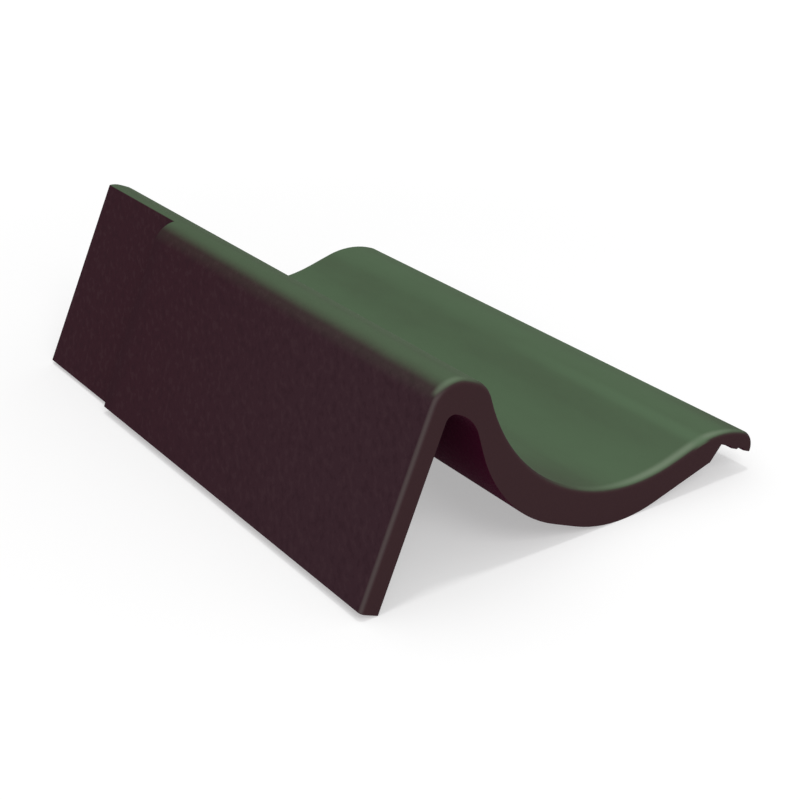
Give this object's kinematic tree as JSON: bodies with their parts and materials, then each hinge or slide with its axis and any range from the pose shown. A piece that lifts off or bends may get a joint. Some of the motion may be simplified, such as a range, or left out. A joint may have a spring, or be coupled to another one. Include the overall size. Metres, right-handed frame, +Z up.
{
  "type": "verge tile",
  "caption": "Left-hand concrete verge tile with a hanging side flap, hollow roll, wide trough and cover lip, closing a pitched roof at its gable edge.",
  "frame": {"origin": "on the floor, under the middle of the tile's box as it lies at rest", "axes": "+Y along the tile from tail to head, +X from the flap towards the cover lip, +Z up from the floor"},
  "size_m": [0.3002, 0.42, 0.1266],
  "materials": {
    "coated_concrete": "matt green coat on the weather side, bare dark maroon-brown concrete elsewhere"
  },
  "bodies": {
    "root": {"verge_tile": "coated_concrete"}
  },
  "joints": []
}
